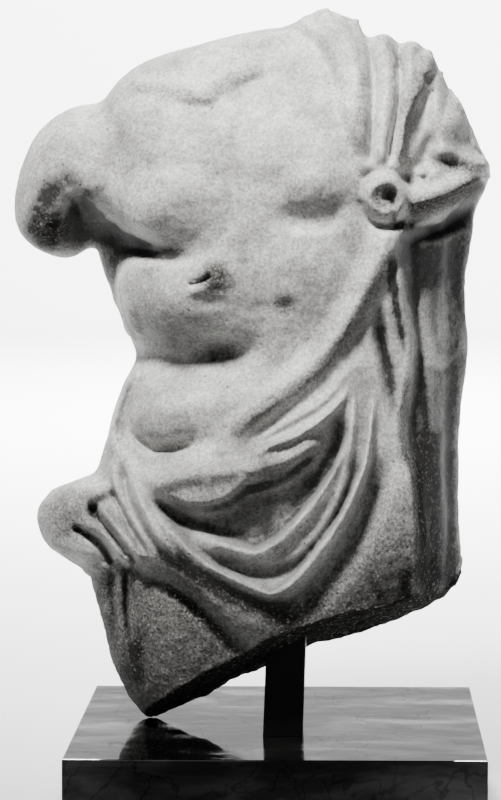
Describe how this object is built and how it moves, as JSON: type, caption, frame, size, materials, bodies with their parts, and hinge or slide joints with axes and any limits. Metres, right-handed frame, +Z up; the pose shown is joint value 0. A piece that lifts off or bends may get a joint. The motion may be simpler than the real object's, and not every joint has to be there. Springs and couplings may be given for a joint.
{
  "type": "statue fragment",
  "caption": "Headless draped marble torso fragment, held up by a square steel post on a polished stone block that stands on any level surface.",
  "frame": {"origin": "middle of the underside of the stone block", "axes": "+Z up, +X to the viewer's right, and the front of the torso faces -Y"},
  "size_m": [0.3768, 0.211, 0.6377],
  "materials": {
    "marble": "weathered, coarse-grained white marble, carved by hand and worn, with a rough tooled break",
    "black_steel": "square steel bar, blackened and waxed",
    "polished_stone": "dark veined limestone, sawn and polished"
  },
  "bodies": {
    "root": {"marble_torso": "marble", "support_post": "black_steel", "display_base": "polished_stone"}
  },
  "joints": []
}
